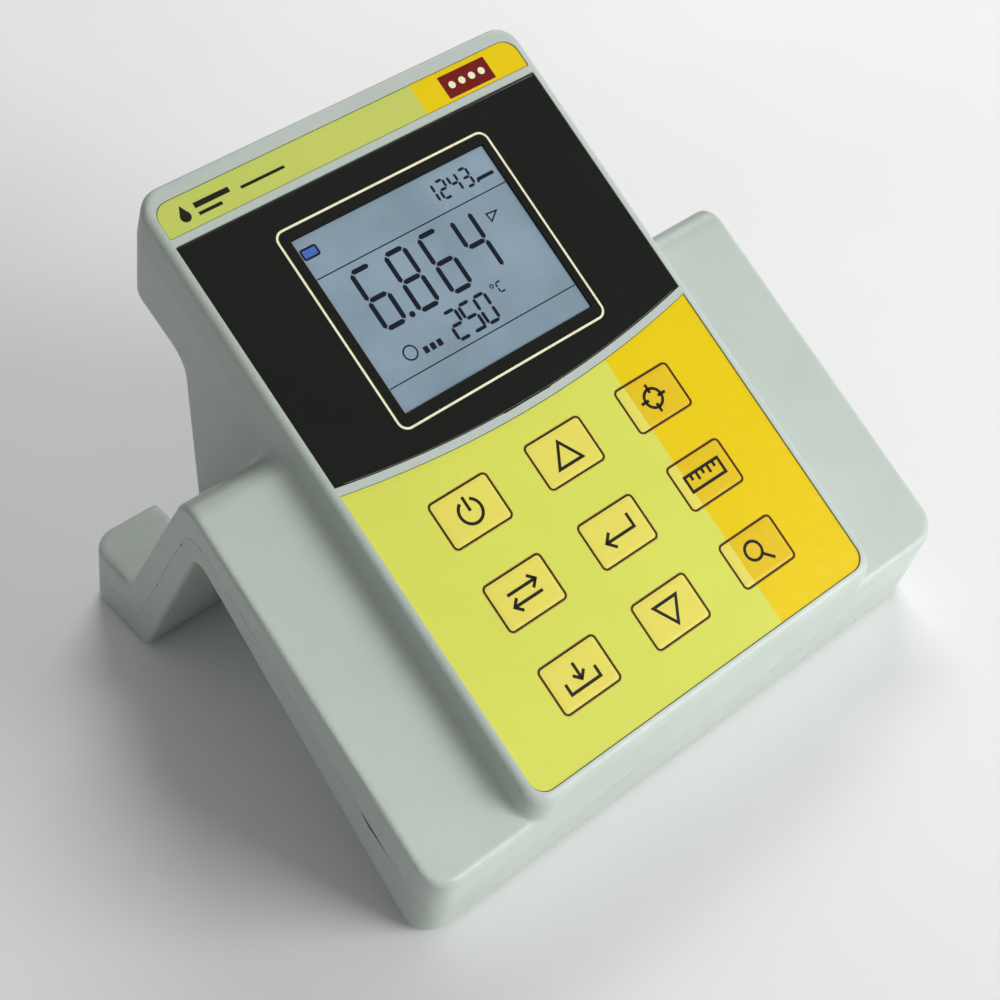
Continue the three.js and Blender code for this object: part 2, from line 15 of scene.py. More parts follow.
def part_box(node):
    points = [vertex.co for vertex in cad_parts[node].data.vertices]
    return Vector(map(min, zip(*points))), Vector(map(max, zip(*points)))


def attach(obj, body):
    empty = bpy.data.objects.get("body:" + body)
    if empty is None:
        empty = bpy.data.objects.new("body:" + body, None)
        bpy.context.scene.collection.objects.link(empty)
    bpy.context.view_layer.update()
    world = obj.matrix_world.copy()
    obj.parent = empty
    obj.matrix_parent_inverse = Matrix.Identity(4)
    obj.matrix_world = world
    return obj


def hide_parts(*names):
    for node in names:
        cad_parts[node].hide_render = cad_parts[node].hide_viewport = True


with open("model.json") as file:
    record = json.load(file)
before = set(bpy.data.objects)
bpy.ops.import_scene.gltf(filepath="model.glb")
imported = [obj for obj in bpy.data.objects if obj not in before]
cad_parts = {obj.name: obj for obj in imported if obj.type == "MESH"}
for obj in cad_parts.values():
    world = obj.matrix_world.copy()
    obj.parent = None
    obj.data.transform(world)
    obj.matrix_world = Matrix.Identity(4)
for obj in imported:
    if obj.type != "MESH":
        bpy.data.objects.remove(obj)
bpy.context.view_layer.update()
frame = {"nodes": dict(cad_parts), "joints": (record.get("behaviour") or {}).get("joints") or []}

MM = 0.001
GAP = 0.3                       # the CAD's clearance between pieces
WORLD = Matrix.Identity(4)

# ------------------------------------------------------------------ frames taken from the CAD
NORMAL = -Vector(frame["joints"][0]["axis"])
SLOPE = math.atan2(-NORMAL.y, NORMAL.z)
FILM_TOP = -0.35                # levels along the panel's normal
FILM_BOTTOM = -1.15
OVERLAY_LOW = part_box("keypad_overlay")[0] / MM
PANEL_Y = OVERLAY_LOW.y - GAP * math.cos(SLOPE) + FILM_TOP * math.sin(SLOPE)
PANEL_Z = OVERLAY_LOW.z - GAP * math.sin(SLOPE) - FILM_BOTTOM * math.cos(SLOPE)
PANEL = Matrix.Translation((0, PANEL_Y, PANEL_Z)) @ Matrix.Rotation(SLOPE, 4, "X")

PANEL_HALF = 58.5
PANEL_LENGTH = 172.2
PANEL_CORNER = 4.5
WINDOW_TOP = 160.6
HEADER_BOTTOM = 162.6
ARC_END = 89.5                  # the window's lower edge at the panel's sides
ARC_DROP = 5.4                  # how far that edge bulges towards the keypad
BAND = 2.2                      # rib of case between window and keypad
WINDOW_LEVEL = -0.2
WINDOW_FLOOR = -1.8
HEADER_LEVEL = -0.2
HEADER_FLOOR = -1.0
KEYPAD_FLOOR = -3.6
GOLD_FROM = 26.1                # the golden field starts here and runs to the right edge
HEADER_GOLD_FROM = 23.2
FILM_CLEAR = 0.18               # gap around each film in its recess

LCD = {"x": 0.4, "v": 122.8, "width": 63.3, "height": 52.4}
KEY = {"width": 19.2, "height": 14.0, "radius": 1.6, "x": 0.4, "v": 43.2, "step_x": 31.5, "step_v": 24.3}
KEY_ROWS = (("memory", "down", "read"), ("mode", "enter", "unit"), ("power", "up", "cal"))

# ------------------------------------------------------------------ case measures
CASE_BOTTOM = 0.8
LEAN = -0.24                    # plan outlines lean forwards with height
FRONT_Y = -72.8                 # front face where it meets the ground
WING_HALF_FRONT = 91.2
WING_HALF_REAR = 88.8
WING_REAR_Y = 82
WING_CORNER = 8
WING_EDGE = 1.3                 # rounding of the wings' long edges
RIDGE_Y = 15.6
HOUSING_HALF = 61.0
HOUSING_REAR_Y = 102
HOUSING_CORNER = 7
HOUSING_EDGE = 2.0
HEAD_TOP_Y = 70.6               # where the panel's plane meets the rear of the display head
DRAFT = 0.14                    # outward slope of the housing's side walls
DRAFT_DEPTH = 9.0
WING_DROP = 10.056              # vertical drop from the panel's plane to the wing tops
TAIL_INNER = 66
TAIL_GAP_Y = 54
TAIL_CORNER = 5
FILLET = 3.6                    # between wings and housing
FILLET_RAMP = 14                # the fillet fades out this near to the front face and the ground
WALL = 2.6
NECK_WALL = 4
NECK_LEAN = 0.07
HEAD_FLOOR_Z = 86               # below this the neck's wall limits the hollow
TOP_PLATE = 6                   # thickness of the plate that carries panel and display
BOSS_RADIUS = 5.2
FOOT_PAD = {"radius": 6.8, "top": 4.4}
SKIN_LOW = (0, -88, -3)
SKIN_HIGH = (94, 88, 137)
SKIN_STEP = 0.75
SKIN_KEPT = 0.3                 # share of the skin's faces that stay after thinning
HOLLOW_STEP = 2.4
SEAM_WIDTH = 0.12
SMALL_CORNER = 0.6


def panel_top(y):
    return PANEL_Z + (y - PANEL_Y) * math.tan(SLOPE)


def wing_top(y):
    return panel_top(y) - WING_DROP


# ------------------------------------------------------------------ outlines
def rounded(corners, steps=8):
    """A closed outline from corners (a, b, radius), each sharp or turned into an arc."""
    points = []
    for i, (a, b, radius) in enumerate(corners):
        here = Vector((a, b))
        if not radius:
            points.append(here)
            continue
        back = (Vector(corners[i - 1][:2]) - here).normalized()
        ahead = (Vector(corners[(i + 1) % len(corners)][:2]) - here).normalized()
        half = back.angle(ahead) / 2
        centre = here + (back + ahead).normalized() * (radius / math.sin(half))
        first = here + back * (radius / math.tan(half)) - centre
        last = here + ahead * (radius / math.tan(half)) - centre
        start = math.atan2(first.y, first.x)
        sweep = (math.atan2(last.y, last.x) - start + math.pi) % (2 * math.pi) - math.pi
        for k in range(steps + 1):
            angle = start + sweep * k / steps
            points.append(centre + Vector((math.cos(angle), math.sin(angle))) * radius)
    return points


def rectangle(x, v, width, height, radius=0.0, steps=8):
    w, h = width / 2, height / 2
    corners = [(x - w, v - h), (x + w, v - h), (x + w, v + h), (x - w, v + h)]
    return rounded([(a, b, radius) for a, b in corners], steps)


def circle(x, v, radius, sides=48, start=0.0, turn=360.0):
    angles = [math.radians(start + turn * k / sides) for k in range(sides + (turn < 360))]
    return [Vector((x + radius * math.cos(a), v + radius * math.sin(a))) for a in angles]


def arc_points(offset, half, steps=40):
    """The curved edge between window and keypad, from left to right."""
    radius = (half**2 + ARC_DROP**2) / (2 * ARC_DROP)
    xs = [-half + 2 * half * k / steps for k in range(steps + 1)]
    return [(x, ARC_END - ARC_DROP + offset + radius - math.sqrt(radius**2 - x**2), 0) for x in xs]


def window_outline(clear=0.0, drop=0.0):
    half, top = PANEL_HALF - clear, WINDOW_TOP - clear - drop
    return rounded(arc_points(clear, half) + [(half, top, SMALL_CORNER), (-half, top, SMALL_CORNER)])


def keypad_outline(clear=0.0):
    half = PANEL_HALF - clear
    arc = arc_points(-BAND - clear, half)[::-1]
    return rounded([(-half, clear, PANEL_CORNER), (half, clear, PANEL_CORNER)] + arc)


def header_outline(clear=0.0):
    half, top, bottom = PANEL_HALF - clear, PANEL_LENGTH - clear, HEADER_BOTTOM + clear
    return rounded([
        (-half, bottom, SMALL_CORNER),
        (half, bottom, SMALL_CORNER),
        (half, top, PANEL_CORNER),
        (-half, top, PANEL_CORNER),
    ])


# ------------------------------------------------------------------ mesh making
def new_object(name, vertices, faces, place=WORLD):
    """A mesh object at the origin, from millimetre points in the axes of place."""
    points = np.asarray(vertices, float).reshape(-1, 3)
    turned = points @ np.array(place.to_3x3()).T + np.array(place.translation)
    mesh = bpy.data.meshes.new(name)
    mesh.from_pydata((turned * MM).tolist(), [], faces)
    mesh.validate()
    piece = bpy.data.objects.new(name, mesh)
    bpy.context.scene.collection.objects.link(piece)
    return piece


def prism_parts(outline, low, high, first=0):
    count = len(outline)
    vertices = [(p[0], p[1], low) for p in outline] + [(p[0], p[1], high) for p in outline]
    faces = [[first + k for k in reversed(range(count))], [first + count + k for k in range(count)]]
    for k in range(count):
        after = (k + 1) % count
        faces.append([first + k, first + after, first + count + after, first + count + k])
    return vertices, faces


def prisms(name, outlines, low, high, place=WORLD):
    vertices, faces = [], []
    for outline in outlines:
        more, sides = prism_parts(outline, low, high, len(vertices))
        vertices += more
        faces += sides
    return new_object(name, vertices, faces, place)


def lathe(name, profile, place=WORLD, sides=64):
    """A closed turned solid along +Z from (radius, height) points; the first and last are on the axis."""
    vertices = [(0, 0, profile[0][1])]
    ring = profile[1:-1]
    for radius, height in ring:
        for k in range(sides):
            angle = 2 * math.pi * k / sides
            vertices.append((radius * math.cos(angle), radius * math.sin(angle), height))
    vertices.append((0, 0, profile[-1][1]))
    last = len(vertices) - 1
    faces = []
    for k in range(sides):
        after = (k + 1) % sides
        faces.append([0, 1 + after, 1 + k])
        for row in range(len(ring) - 1):
            a, b = 1 + row * sides, 1 + (row + 1) * sides
            faces.append([a + k, a + after, b + after, b + k])
        top = 1 + (len(ring) - 1) * sides
        faces.append([top + k, top + after, last])
    return new_object(name, vertices, faces, place)


def ribbon_parts(points, width, closed, low, high, first):
    """A stroke of even width along points, as one closed strip with mitred corners."""
    count = len(points)
    sides = []
    for k, p in enumerate(points):
        before = points[k - 1] if closed or k else None
        after = points[(k + 1) % count] if closed or k < count - 1 else None
        spans = [(q, r) for q, r in ((p, before), (after, p)) if q is not None and r is not None]
        heads = [(q - r).normalized() for q, r in spans]
        along = sum(heads, Vector((0, 0))).normalized()
        across = Vector((-along.y, along.x))
        reach = width / 2 / max(0.35, across.dot(Vector((-heads[0].y, heads[0].x))))
        sides.append((p + across * reach, p - across * reach))
    vertices = []
    for left, right in sides:
        for edge, level in ((left, low), (right, low), (right, high), (left, high)):
            vertices.append((edge.x, edge.y, level))
    faces = []
    for k in range(count if closed else count - 1):
        a, b = first + 4 * k, first + 4 * ((k + 1) % count)
        faces += [[a + s, a + (s + 1) % 4, b + (s + 1) % 4, b + s] for s in range(4)]
    if not closed:
        end = first + 4 * (count - 1)
        faces += [[first + 3, first + 2, first + 1, first], [end, end + 1, end + 2, end + 3]]
    return vertices, faces


INK = 0.03                      # thickness of a printed mark


def print_marks(name, level, fills=(), strokes=(), place=PANEL):
    """Printed marks on a surface at level: filled outlines, and strokes (points, width, closed)."""
    vertices, faces = [], []
    for outline in fills:
        more, sides = prism_parts(outline, level, level + INK, len(vertices))
        vertices += more
        faces += sides
    for points, width, closed in strokes:
        more, sides = ribbon_parts(points, width, closed, level, level + INK, len(vertices))
        vertices += more
        faces += sides
    piece = new_object(name, vertices, faces, place)
    face_outwards(piece)
    return piece


def edit(piece, change):
    mesh = bmesh.new()
    mesh.from_mesh(piece.data)
    change(mesh)
    mesh.to_mesh(piece.data)
    mesh.free()


def face_outwards(piece):
    edit(piece, lambda mesh: bmesh.ops.recalc_face_normals(mesh, faces=mesh.faces))


def settle(piece):
    """Turns a piece's modifiers into mesh."""
    bpy.context.view_layer.update()
    graph = bpy.context.evaluated_depsgraph_get()
    done = bpy.data.meshes.new_from_object(piece.evaluated_get(graph))
    old = piece.data
    piece.modifiers.clear()
    piece.data = done
    bpy.data.meshes.remove(old)


def combine(piece, tool, operation, solver="MANIFOLD"):
    step = piece.modifiers.new("combine", "BOOLEAN")
    step.operation = operation
    step.solver = solver
    step.object = tool
    settle(piece)
    bpy.data.objects.remove(tool)


def soften(piece, width, segments=2, angle=35):
    step = piece.modifiers.new("soften", "BEVEL")
    step.width = width * MM
    step.segments = segments
    step.limit_method = "ANGLE"
    step.angle_limit = math.radians(angle)
    settle(piece)


def sharpen(piece, seam):
    """Makes the rim of the faces that lie on an outline in the (y, z) plane sharp."""
    def change(mesh):
        places = np.array([vertex.co for vertex in mesh.verts]) / MM
        on_seam = np.abs(outline_distance(seam, places[:, 1], places[:, 2])) < 0.03
        cut = {face.index for face in mesh.faces if all(on_seam[vertex.index] for vertex in face.verts)}
        for edge in mesh.edges:
            if len({face.index in cut for face in edge.link_faces}) == 2:
                edge.smooth = False
    edit(piece, change)


def shade(piece, angle=32, seam=None):
    """Smooth shading up to an angle, weighted so that flats stay flat."""
    piece.data.shade_smooth()
    piece.data.set_sharp_from_angle(angle=math.radians(angle))
    if seam:
        sharpen(piece, seam)
    step = piece.modifiers.new("even_shading", "WEIGHTED_NORMAL")
    step.keep_sharp = True
    step.weight = 80
    settle(piece)


def dress(piece, *finishes):
    piece.data.materials.clear()
    for finish in finishes:
        piece.data.materials.append(finish)


def fit(piece, body, slot, *nodes):
    """A piece rides on a body and may stand for CAD nodes, which it hides; the slot argument is not used.
    """
    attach(piece, body)
    if nodes:
        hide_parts(*nodes)


# ------------------------------------------------------------------ solids as distance fields
def outline_distance(outline, a, b):
    """Signed distance, negative inside, from places (a, b) to a closed outline."""
    nearest = np.full(np.broadcast(a, b).shape, np.inf)
    inside = np.zeros(nearest.shape, bool)
    for (a0, b0), (a1, b1) in zip(outline, outline[1:] + outline[:1]):
        da, db = a1 - a0, b1 - b0
        along = np.clip(((a - a0) * da + (b - b0) * db) / (da * da + db * db), 0, 1)
        nearest = np.minimum(nearest, (a - a0 - along * da) ** 2 + (b - b0 - along * db) ** 2)
        if db:
            inside ^= ((b0 > b) != (b1 > b)) & (a < a0 + (b - b0) * da / db)
    return np.where(inside, -1, 1) * np.sqrt(nearest)


def both(a, b, radius):
    """The overlap of two solids, with its new edges rounded."""
    corner = np.hypot(np.maximum(a + radius, 0), np.maximum(b + radius, 0))
    return np.minimum(np.maximum(a, b), -radius) + corner


def either(a, b, radius):
    """Two solids as one, with a fillet where they meet."""
    return -both(-a, -b, radius)


def skin(name, distance, low, high, step):
    """The surface where distance(x, y, z) is zero, as quads with one point in each cell it crosses.
    The field is the same on both sides of x = 0, so only one half is worked out."""
    half = np.arange(0, high[0] + step, step)
    y = np.arange(low[1], high[1] + step, step)[None, :, None]
    z = np.arange(low[2], high[2] + step, step)[None, None, :]
    shape = (half.size, y.size, z.size)
    side = np.broadcast_to(distance(half[:, None, None], y, z), shape).astype(np.float32)
    field = np.concatenate([side[:0:-1], side])
    origin = np.array([-half[-1], low[1], low[2]])
    inside = field < 0

    corners = [(i, j, k) for i in (0, 1) for j in (0, 1) for k in (0, 1)]
    cells = np.array(field.shape) - 1
    window = [tuple(slice(c, c + n) for c, n in zip(corner, cells)) for corner in corners]
    filled = sum(inside[w].astype(np.int8) for w in window)
    crossed = (filled > 0) & (filled < 8)
    index = np.full(crossed.shape, -1, np.int32)
    index[crossed] = np.arange(crossed.sum())
    values = np.stack([field[w][crossed] for w in window])
    places = np.argwhere(crossed).astype(float)
    total = np.zeros_like(places)
    hits = np.zeros(len(places))
    for p, first in enumerate(corners):
        for q, second in enumerate(corners):
            if q <= p or sum(abs(s - t) for s, t in zip(first, second)) != 1:
                continue
            cut = (values[p] < 0) != (values[q] < 0)
            share = np.where(cut, values[p] / np.where(cut, values[p] - values[q], 1), 0)[:, None]
            total += cut[:, None] * (np.array(first) + share * (np.array(second) - np.array(first)))
            hits += cut
    vertices = origin + step * (places + total / hits[:, None])

    quads = []
    for axis in range(3):
        lower = np.take(inside, range(0, inside.shape[axis] - 1), axis)
        upper = np.take(inside, range(1, inside.shape[axis]), axis)
        near = np.argwhere(lower != upper)
        u, w = np.eye(3, dtype=int)[(axis + 1) % 3], np.eye(3, dtype=int)[(axis + 2) % 3]
        ring = np.stack([index[tuple((near - shift).T)] for shift in (0 * u, u, u + w, w)], axis=1)
        outward = lower[tuple(near.T)]
        quads.append(np.where(outward[:, None], ring, ring[:, ::-1]))
    return new_object(name, vertices, np.concatenate(quads).tolist())


NECK_TOP = Vector((55, 90))
NECK_BOTTOM = Vector((61.3, CASE_BOTTOM))
HEAD_REAR = Vector((77, 102))
OVERRUN = 6.0                   # profiles run past the faces that the plan outlines give

RIBBON = rounded([
    (FRONT_Y - OVERRUN, CASE_BOTTOM, 0),
    (-69, CASE_BOTTOM, 1),
    (13.2, 69.3, 4),
    (51.6, CASE_BOTTOM, 4),
    (81.3, CASE_BOTTOM, 1.5),
    (79, 24.8, 2),
    (54.7, 24, 6),
    (RIDGE_Y, wing_top(RIDGE_Y), 7),
    (PANEL_Y - OVERRUN, wing_top(PANEL_Y - OVERRUN), 0),
])
HEAD_PAST = (HEAD_REAR - NECK_TOP).normalized() * 2 * OVERRUN + HEAD_REAR
HOUSING = rounded([
    (FRONT_Y - OVERRUN, CASE_BOTTOM, 0),
    (NECK_BOTTOM.x, NECK_BOTTOM.y, 2),
    (NECK_TOP.x, NECK_TOP.y, 8),
    (HEAD_PAST.x, HEAD_PAST.y, 0),
    (HEAD_TOP_Y + OVERRUN, panel_top(HEAD_TOP_Y + OVERRUN), 0),
    (PANEL_Y - 2 * OVERRUN, panel_top(PANEL_Y - 2 * OVERRUN), 0),
])


def wing_plan(x, y, z):
    lean_y = y - LEAN * z
    taper = (WING_HALF_FRONT - WING_HALF_REAR) / (WING_REAR_Y - FRONT_Y)
    side = x - WING_HALF_FRONT + taper * (lean_y - FRONT_Y)
    return both(side, np.maximum(FRONT_Y - lean_y, lean_y - WING_REAR_Y), WING_CORNER)


def housing_plan(x, y, z):
    lean_y = y - LEAN * z
    below = np.clip(-panel_level(y, z), 0, DRAFT_DEPTH)
    side = x - HOUSING_HALF - DRAFT * below
    return both(side, np.maximum(FRONT_Y - lean_y, lean_y - HOUSING_REAR_Y), HOUSING_CORNER)


def panel_level(y, z):
    """How far a place is above the panel's plane."""
    return (z - PANEL_Z) * math.cos(SLOPE) - (y - PANEL_Y) * math.sin(SLOPE)


def case_outside(x, y, z):
    tail_gap = both(x - TAIL_INNER, TAIL_GAP_Y - y, TAIL_CORNER)
    wings = both(outline_distance(RIBBON, y, z), wing_plan(x, y, z), WING_EDGE)
    wings = both(wings, -tail_gap, WING_EDGE)
    housing = both(outline_distance(HOUSING, y, z), housing_plan(x, y, z), HOUSING_EDGE)
    depth = np.minimum(y - LEAN * z - FRONT_Y, z - CASE_BOTTOM)
    fillet = FILLET * np.clip(depth / FILLET_RAMP, 0.02, 1)
    return np.maximum(either(wings, housing, fillet), CASE_BOTTOM - z)


def case_hollow(x, y, z):
    wings = np.maximum(outline_distance(RIBBON, y, z), wing_plan(x, y, z)) + WALL
    wings = np.maximum(wings, WALL - np.maximum(x - TAIL_INNER, TAIL_GAP_Y - y))
    neck = (y - NECK_BOTTOM.x) + (z - NECK_BOTTOM.y) * NECK_LEAN + NECK_WALL
    housing = np.maximum(outline_distance(HOUSING, y, z), housing_plan(x, y, z)) + WALL
    housing = np.maximum(housing, panel_level(y, z) + TOP_PLATE)
    housing = np.maximum(housing, np.where(z < HEAD_FLOOR_Z, neck, -1))
    hollow = np.minimum(wings, housing)
    for spot_x, spot_y in POSTS:
        if spot_x > 0:
            hollow = np.maximum(hollow, BOSS_RADIUS - np.hypot(x - spot_x, y - spot_y))
    for spot_x, spot_y in FEET.values():
        if spot_x > 0:
            pad = np.maximum(np.hypot(x - spot_x, y - spot_y) - FOOT_PAD["radius"], z - FOOT_PAD["top"])
            hollow = np.maximum(hollow, -pad)
    return hollow


SIDE = Matrix(((0, 0, 1, 0), (1, 0, 0, 0), (0, 1, 0, 0), (0, 0, 0, 1)))     # (y, z) outlines along X
NECK_UP = (NECK_TOP - NECK_BOTTOM).normalized()
PLATE_HEIGHT = 34
PLATE_CENTRE = NECK_BOTTOM + NECK_UP * PLATE_HEIGHT
REAR = Matrix((
    (-1, 0, 0, 0),
    (0, NECK_UP.x, NECK_UP.y, PLATE_CENTRE.x),
    (0, NECK_UP.y, -NECK_UP.x, PLATE_CENTRE.y),
    (0, 0, 0, 1),
))
PLATE = {"width": 84, "height": 28, "corner": 2, "recess": 2.1, "thickness": 1.5}
SOCKETS = {"bnc": -24, "temperature": 4, "power": 27}
HOLES = {"bnc": 5.8, "temperature": 3.8, "power": 4.8}
PRINTED_RINGS = {"bnc": 9, "temperature": 7, "power": 7.6}

SEAM = [(-107, -6.8, 0), (14.2, 79, 7), (53.2, 12.4, 8), (110, 12.4, 0)]
SEAM_ENDS = (110, -107)         # y of the seam regions' far sides
LCD_OPENING = 4.4               # margin of the display's opening around the glass
TOP_PLATE_BACK = -9             # cuts through the top plate end below its inner face
SOCKET_CUT = {"width": 76, "height": 20, "depth": 12}
CUT_TOP = 5                     # cuts start this far outside the surface
FAR = 120                       # further out than any piece
POSTS = [(side * 54, y) for side in (-1, 1) for y in (-54, 36)]
FEET = {
    "front_left_foot": (-46, -62),
    "front_right_foot": (46, -62),
    "rear_left_foot": (-77.5, 68),
    "rear_right_foot": (77.5, 68),
}
FOOT_RADIUS = 5.0


def lcd_outline(grow=0.0, radius=0.0):
    return rectangle(LCD["x"], LCD["v"], LCD["width"] + 2 * grow, LCD["height"] + 2 * grow, radius)


def underside_cutters():
    """The counterbored screw holes and the feet's recesses, all clear of each other."""
    bore = [(0, -2), (3.4, -2), (3.4, 3.6), (1.75, 3.6), (1.75, 20), (0, 20)]
    recess = [(0, -2), (FOOT_RADIUS + 0.2, -2), (FOOT_RADIUS + 0.2, 2.4), (0, 2.4)]
    places = [(bore, spot) for spot in POSTS] + [(recess, spot) for spot in FEET.values()]
    tools = [lathe("cutter", profile, Matrix.Translation((x, y, 0)), 40) for profile, (x, y) in places]
    return join(tools)


def join(pieces):
    """Separate pieces as one object."""
    whole = bmesh.new()
    for piece in pieces:
        whole.from_mesh(piece.data)
    whole.to_mesh(pieces[0].data)
    whole.free()
    for piece in pieces[1:]:
        bpy.data.objects.remove(piece)
    return pieces[0]


def build_case():
    case = skin("case_skin", case_outside, SKIN_LOW, SKIN_HIGH, SKIN_STEP)
    thin = case.modifiers.new("thin", "DECIMATE")
    thin.ratio = SKIN_KEPT
    settle(case)
    combine(case, skin("hollow", case_hollow, SKIN_LOW, SKIN_HIGH, HOLLOW_STEP), "DIFFERENCE")
    combine(case, underside_cutters(), "DIFFERENCE")
    plate = rectangle(0, 0, PLATE["width"], PLATE["height"], PLATE["corner"])
    for outline, floor, place in (
        (keypad_outline(), KEYPAD_FLOOR, PANEL),
        (window_outline(), WINDOW_FLOOR, PANEL),
        (header_outline(), HEADER_FLOOR, PANEL),
        (lcd_outline(LCD_OPENING), TOP_PLATE_BACK, PANEL),
        (rectangle(0, 88, 16, 8), TOP_PLATE_BACK, PANEL),
        (plate, -PLATE["recess"], REAR),
        (rectangle(0, 0, SOCKET_CUT["width"], SOCKET_CUT["height"]), -SOCKET_CUT["depth"], REAR),
    ):
        combine(case, prisms("recess", [outline], floor, CUT_TOP, place), "DIFFERENCE")

    lower = case.copy()
    lower.data = case.data.copy()
    bpy.context.scene.collection.objects.link(lower)
    case.name, lower.name = "upper_case", "lower_case"
    for piece, shift, beyond in ((case, SEAM_WIDTH / 2, 160), (lower, -SEAM_WIDTH / 2, -30)):
        line = [(y, z + shift, radius) for y, z, radius in SEAM]
        region = rounded(line + [(y, beyond, 0) for y in SEAM_ENDS])
        combine(piece, prisms("region", [region], -FAR, FAR, SIDE), "INTERSECT")
        edit(piece, lambda mesh: bmesh.ops.dissolve_degenerate(mesh, dist=0.00002, edges=mesh.edges))
        shade(piece, seam=region)
    dress(case, FINISH["case_grey"])
    dress(lower, FINISH["case_base"])
    fit(case, "case", "case_grey", "upper_shell")
    fit(lower, "case", "case_base", "lower_shell")


# ------------------------------------------------------------------ keypad
def loft(name, rings, place=PANEL):
    """A closed solid through outlines of the same number of points, each with its level."""
    vertices, faces = [], []
    count = len(rings[0][0])
    for outline, level in rings:
        vertices += [(p[0], p[1], level) for p in outline]
    faces.append(list(reversed(range(count))))
    for row in range(len(rings) - 1):
        a, b = row * count, (row + 1) * count
        for k in range(count):
            after = (k + 1) % count
            faces.append([a + k, a + after, b + after, b + k])
    faces.append([(len(rings) - 1) * count + k for k in range(count)])
    return new_object(name, vertices, faces, place)


def two_tone(piece, x):
    """Faces to the right of x take the second finish."""
    def change(mesh):
        everything = list(mesh.verts) + list(mesh.edges) + list(mesh.faces)
        bmesh.ops.bisect_plane(mesh, geom=everything, plane_co=(x * MM, 0, 0), plane_no=(1, 0, 0))
        for face in mesh.faces:
            face.material_index = int(face.calc_center_median().x > x * MM)
    edit(piece, change)


def key_outline(x, v, grow, radius=None):
    radius = KEY["radius"] + grow if radius is None else radius
    return rectangle(x, v, KEY["width"] + 2 * grow, KEY["height"] + 2 * grow, max(radius, 0.4))


def key_places():
    for row, names in enumerate(KEY_ROWS):
        for column, name in enumerate(names):
            yield name, KEY["x"] + (column - 1) * KEY["step_x"], KEY["v"] + (row - 1) * KEY["step_v"]


def arrow(x0, v0, x1, v1, head):
    """A line with an open arrowhead at its end, as strokes."""
    tip = Vector((x1, v1))
    along = (tip - Vector((x0, v0))).normalized()
    across = Vector((-along.y, along.x))
    barbs = [tip - along * head + across * head, tip, tip - along * head - across * head]
    return [([Vector((x0, v0)), tip], False), (barbs, False)]


def points(*pairs):
    return [Vector(pair) for pair in pairs]


def icon_strokes(name):
    """A key's sign around its centre: a list of (points, closed)."""
    if name == "power":
        return [(circle(0, 0, 3.3, 40, 118, 304), False), (points((0, 0.1), (0, 4.2)), False)]
    if name == "up":
        return [(points((0, 3.4), (-3.9, -3.1), (3.9, -3.1)), True)]
    if name == "down":
        return [(points((0, -3.4), (3.9, 3.1), (-3.9, 3.1)), True)]
    if name == "mode":
        return arrow(-4.6, 1.7, 4.6, 1.7, 1.8) + arrow(4.6, -1.7, -4.6, -1.7, 1.8)
    if name == "enter":
        shaft = points((5, 3), (5, -1), (-4.6, -1))
        return [(shaft, False), (points((-2.4, 1.2), (-4.6, -1), (-2.4, -3.2)), False)]
    if name == "unit":
        depths = {-4: 1.4, -2: 2.2, 0: 1.4, 2: 2.2, 4: 1.4}
        ticks = [(points((x, 1.9), (x, 1.9 - depth)), False) for x, depth in depths.items()]
        return [(rectangle(0, 0, 12, 4.4), True)] + ticks
    if name == "memory":
        tray = points((-4.8, 0), (-4.8, -3), (4.8, -3), (4.8, 0))
        return [(tray, False)] + arrow(0, 3.6, 0, -1, 1.8)
    if name == "read":
        return [(circle(-0.8, 0.8, 2.6, 32), True), (points((1.1, -1.1), (3.8, -3.8)), False)]
    compass = ((1, 0), (0, 1), (-1, 0), (0, -1))
    ticks = [(points((1.6 * a, 1.6 * b), (4.2 * a, 4.2 * b)), False) for a, b in compass]
    return [(circle(0, 0, 2.7, 32), True)] + ticks


PLATEAU = 0.08                  # how far a key's middle stands above its border
KEY_CLEAR = 0.07                # gap around each key in the film
KEY_BORDER = {"inset": 0.36, "width": 0.56}
SIGN_WIDTH = 0.85


def build_keypad():
    overlay = prisms("keypad_film", [keypad_outline(FILM_CLEAR)], FILM_BOTTOM, FILM_TOP, PANEL)
    holes = [key_outline(x, v, KEY_CLEAR) for _, x, v in key_places()]
    combine(overlay, prisms("holes", holes, -3, 1, PANEL), "DIFFERENCE", "EXACT")
    soften(overlay, 0.06, 2)
    dress(overlay, FINISH["film_lime"], FINISH["film_gold"])
    two_tone(overlay, GOLD_FROM)
    shade(overlay)
    fit(overlay, "case", "film_lime", "keypad_overlay")

    for name, x, v in key_places():
        body = name + "_key"
        rings = [(0, -1.35), (0, -0.42), (-0.03, -0.37), (-0.09, -0.35), (-0.75, -0.35)]
        rings += [(-1.05, -0.32), (-1.4, FILM_TOP + PLATEAU * 0.9), (-1.9, FILM_TOP + PLATEAU)]
        key = loft("key_film_" + name, [(key_outline(x, v, grow), level) for grow, level in rings])
        dress(key, FINISH["film_key"], FINISH["film_key_gold"])
        two_tone(key, GOLD_FROM)
        shade(key, 50)
        fit(key, body, "film_key", "key_" + name)
        border = [(key_outline(x, v, -KEY_BORDER["inset"]), KEY_BORDER["width"], True)]
        edge = print_marks("key_border_" + name, FILM_TOP, strokes=border)
        middle = Vector((x, v))
        sign = [([p + middle for p in path], SIGN_WIDTH, closed) for path, closed in icon_strokes(name)]
        label = print_marks("key_sign_" + name, FILM_TOP + PLATEAU, strokes=sign)
        for mark, finish in ((edge, "ink_brown"), (label, "ink_dark")):
            dress(mark, FINISH[finish])
            fit(mark, body, "film_key")


